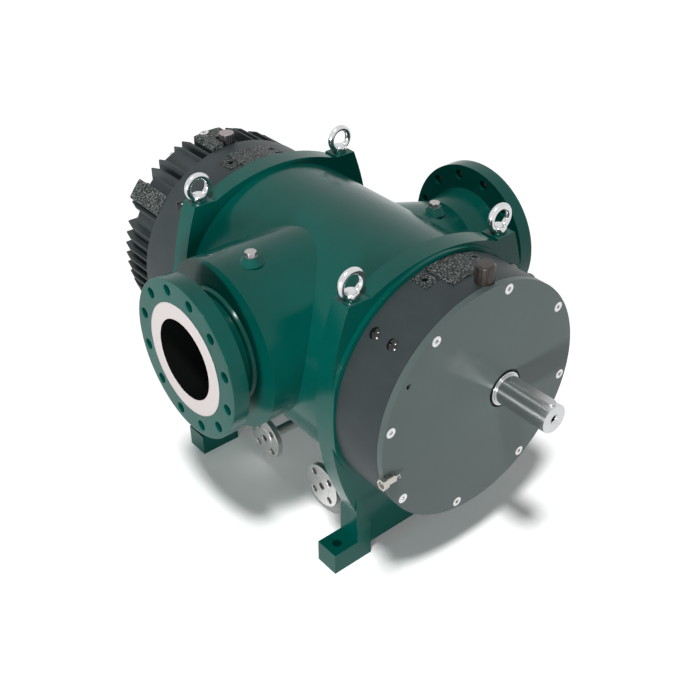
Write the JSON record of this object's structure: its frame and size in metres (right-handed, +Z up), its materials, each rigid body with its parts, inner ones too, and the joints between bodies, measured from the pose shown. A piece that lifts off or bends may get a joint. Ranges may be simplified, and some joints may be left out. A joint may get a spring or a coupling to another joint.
{
  "type": "twin screw pump",
  "caption": "Horizontal twin screw pump in a welded casing with opposed pipe flanges, a keyed drive shaft, bearing and gear housings, a finned rear cover and lifting eyes.",
  "frame": {"origin": "centre of the foot bolt pattern, on the floor", "axes": "+X along the shafts towards the drive end, +Y towards the discharge flange, -Y towards the suction flange, +Z up"},
  "size_m": [1.2, 0.918, 0.804],
  "materials": {
    "casing_paint": "gloss dark teal-green paint",
    "insert_iron": "machined casting",
    "housing_paint": "satin dark grey paint over casting",
    "cover_paint": "satin grey paint",
    "gasket_fibre": "matt grey sheet",
    "screw_steel": "bright zinc plated",
    "seal_rubber": "matt black",
    "plug_black": "glossy black",
    "valve_steel": "bright turned steel",
    "eyebolt_chrome": "mirror bright plating",
    "stainless": "light satin stainless steel",
    "bearing_steel": "ground steel",
    "seal_parts": "lapped",
    "front_cap_plastic": "black-brown plastic",
    "rear_cap_plastic": "dark knurled side, light pinkish grey top",
    "shaft_steel": "ground and polished",
    "key_steel": "light grey, satin",
    "screw_bronze": "machined bronze",
    "gear_steel": "hobbed and hardened"
  },
  "bodies": {
    "casing": {"front_end_plate": "casing_paint", "rear_end_plate": "casing_paint", "body_shell": "casing_paint", "suction_barrel": "casing_paint", "suction_flange": "casing_paint", "discharge_flange": "casing_paint", "front_insert_web": "casing_paint", "rear_insert_web": "casing_paint", "pump_insert": "insert_iron", "front_bearing_housing": "housing_paint", "rear_gear_housing": "housing_paint", "rear_finned_cover": "housing_paint", "front_cover": "cover_paint", "front_housing_gasket": "gasket_fibre", "front_cover_gasket": "gasket_fibre", "rear_housing_gasket": "gasket_fibre", "rear_cover_gasket": "gasket_fibre", "front_cover_screws": "screw_steel", "rear_cover_screws": "screw_steel", "rear_hex_plug": "screw_steel", "suction_vent_plug": "screw_steel", "discharge_vent_plug": "screw_steel", "shaft_lip_seal": "seal_rubber", "front_oil_plugs": "plug_black", "rear_oil_plugs": "plug_black", "drain_valve_body": "valve_steel", "eyebolt_front_suction": "eyebolt_chrome", "eyebolt_front_discharge": "eyebolt_chrome", "eyebolt_rear_suction": "eyebolt_chrome", "eyebolt_rear_discharge": "eyebolt_chrome", "front_drain": "stainless", "rear_drain": "stainless", "drive_front_bearing": "bearing_steel", "driven_front_bearing": "bearing_steel", "drive_rear_bearing": "bearing_steel", "driven_rear_bearing": "bearing_steel", "front_seal_seats": "seal_parts", "rear_seal_seats": "seal_parts"},
    "drive_rotor": {"drive_shaft": "shaft_steel", "drive_key": "key_steel", "shaft_sleeve": "shaft_steel", "drive_screw_front": "screw_bronze", "drive_screw_rear": "screw_bronze", "drive_gear": "gear_steel", "drive_front_inner_ring": "bearing_steel", "drive_rear_inner_ring": "bearing_steel", "drive_seal_heads": "seal_parts", "drive_lock_nuts": "gear_steel"},
    "driven_rotor": {"driven_shaft": "shaft_steel", "driven_screw_front": "screw_bronze", "driven_screw_rear": "screw_bronze", "driven_gear": "gear_steel", "driven_front_inner_ring": "bearing_steel", "driven_rear_inner_ring": "bearing_steel", "driven_seal_heads": "seal_parts", "driven_lock_nuts": "gear_steel"},
    "front_cap": {"front_filler_cap": "front_cap_plastic"},
    "rear_cap": {"rear_filler_cap": "rear_cap_plastic"},
    "valve_handle": {"drain_valve_handle": "valve_steel"}
  },
  "joints": [
    {"name": "drive_spin", "type": "hinge", "parent": "casing", "child": "drive_rotor", "pos_m": [0, 0.0735, 0.468], "axis": [1, 0, 0], "continuous": true},
    {"name": "driven_spin", "type": "hinge", "parent": "casing", "child": "driven_rotor", "pos_m": [0, -0.0735, 0.468], "axis": [1, 0, 0], "continuous": true},
    {"name": "front_cap_lift", "type": "slide", "parent": "casing", "child": "front_cap", "axis": [0, 0, 1], "range_m": [0, 0.06]},
    {"name": "rear_cap_lift", "type": "slide", "parent": "casing", "child": "rear_cap", "axis": [0, 0, 1], "range_m": [0, 0.06]},
    {"name": "drain_valve_turn", "type": "hinge", "parent": "casing", "child": "valve_handle", "pos_m": [0.475, -0.27, 0.404], "axis": [0, 1, 0], "range_deg": [0, 90]}
  ],
  "couplings": [
    {"joint": "driven_spin", "follows": "drive_spin", "ratio": -1}
  ]
}
